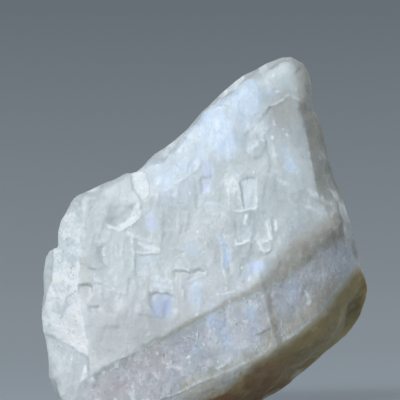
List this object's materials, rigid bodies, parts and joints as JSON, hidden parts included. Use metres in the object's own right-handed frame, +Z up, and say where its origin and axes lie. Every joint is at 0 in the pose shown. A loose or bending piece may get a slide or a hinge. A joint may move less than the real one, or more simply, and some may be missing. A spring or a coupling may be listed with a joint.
{
  "type": "rough moonstone",
  "caption": "Uncut rainbow moonstone, a cleaved waxy white feldspar lump with a stepped show face and blue sheen, standing upright on a small flat spot.",
  "frame": {"origin": "middle of the bounding box's footprint, on the surface that the stone rests on", "axes": "+Z up, the stone's long way; the stepped show face looks to -Y; +X to the right as one looks at the show face"},
  "size_m": [0.0646, 0.034, 0.0693],
  "materials": {
    "moonstone": "translucent milky white feldspar, waxy satin cleavage faces with a bluish sheen, sugary white fracture, olive-brown weathered underside; opaque to the eye, so alpha is 1"
  },
  "bodies": {
    "root": {"moonstone": "moonstone"}
  },
  "joints": []
}
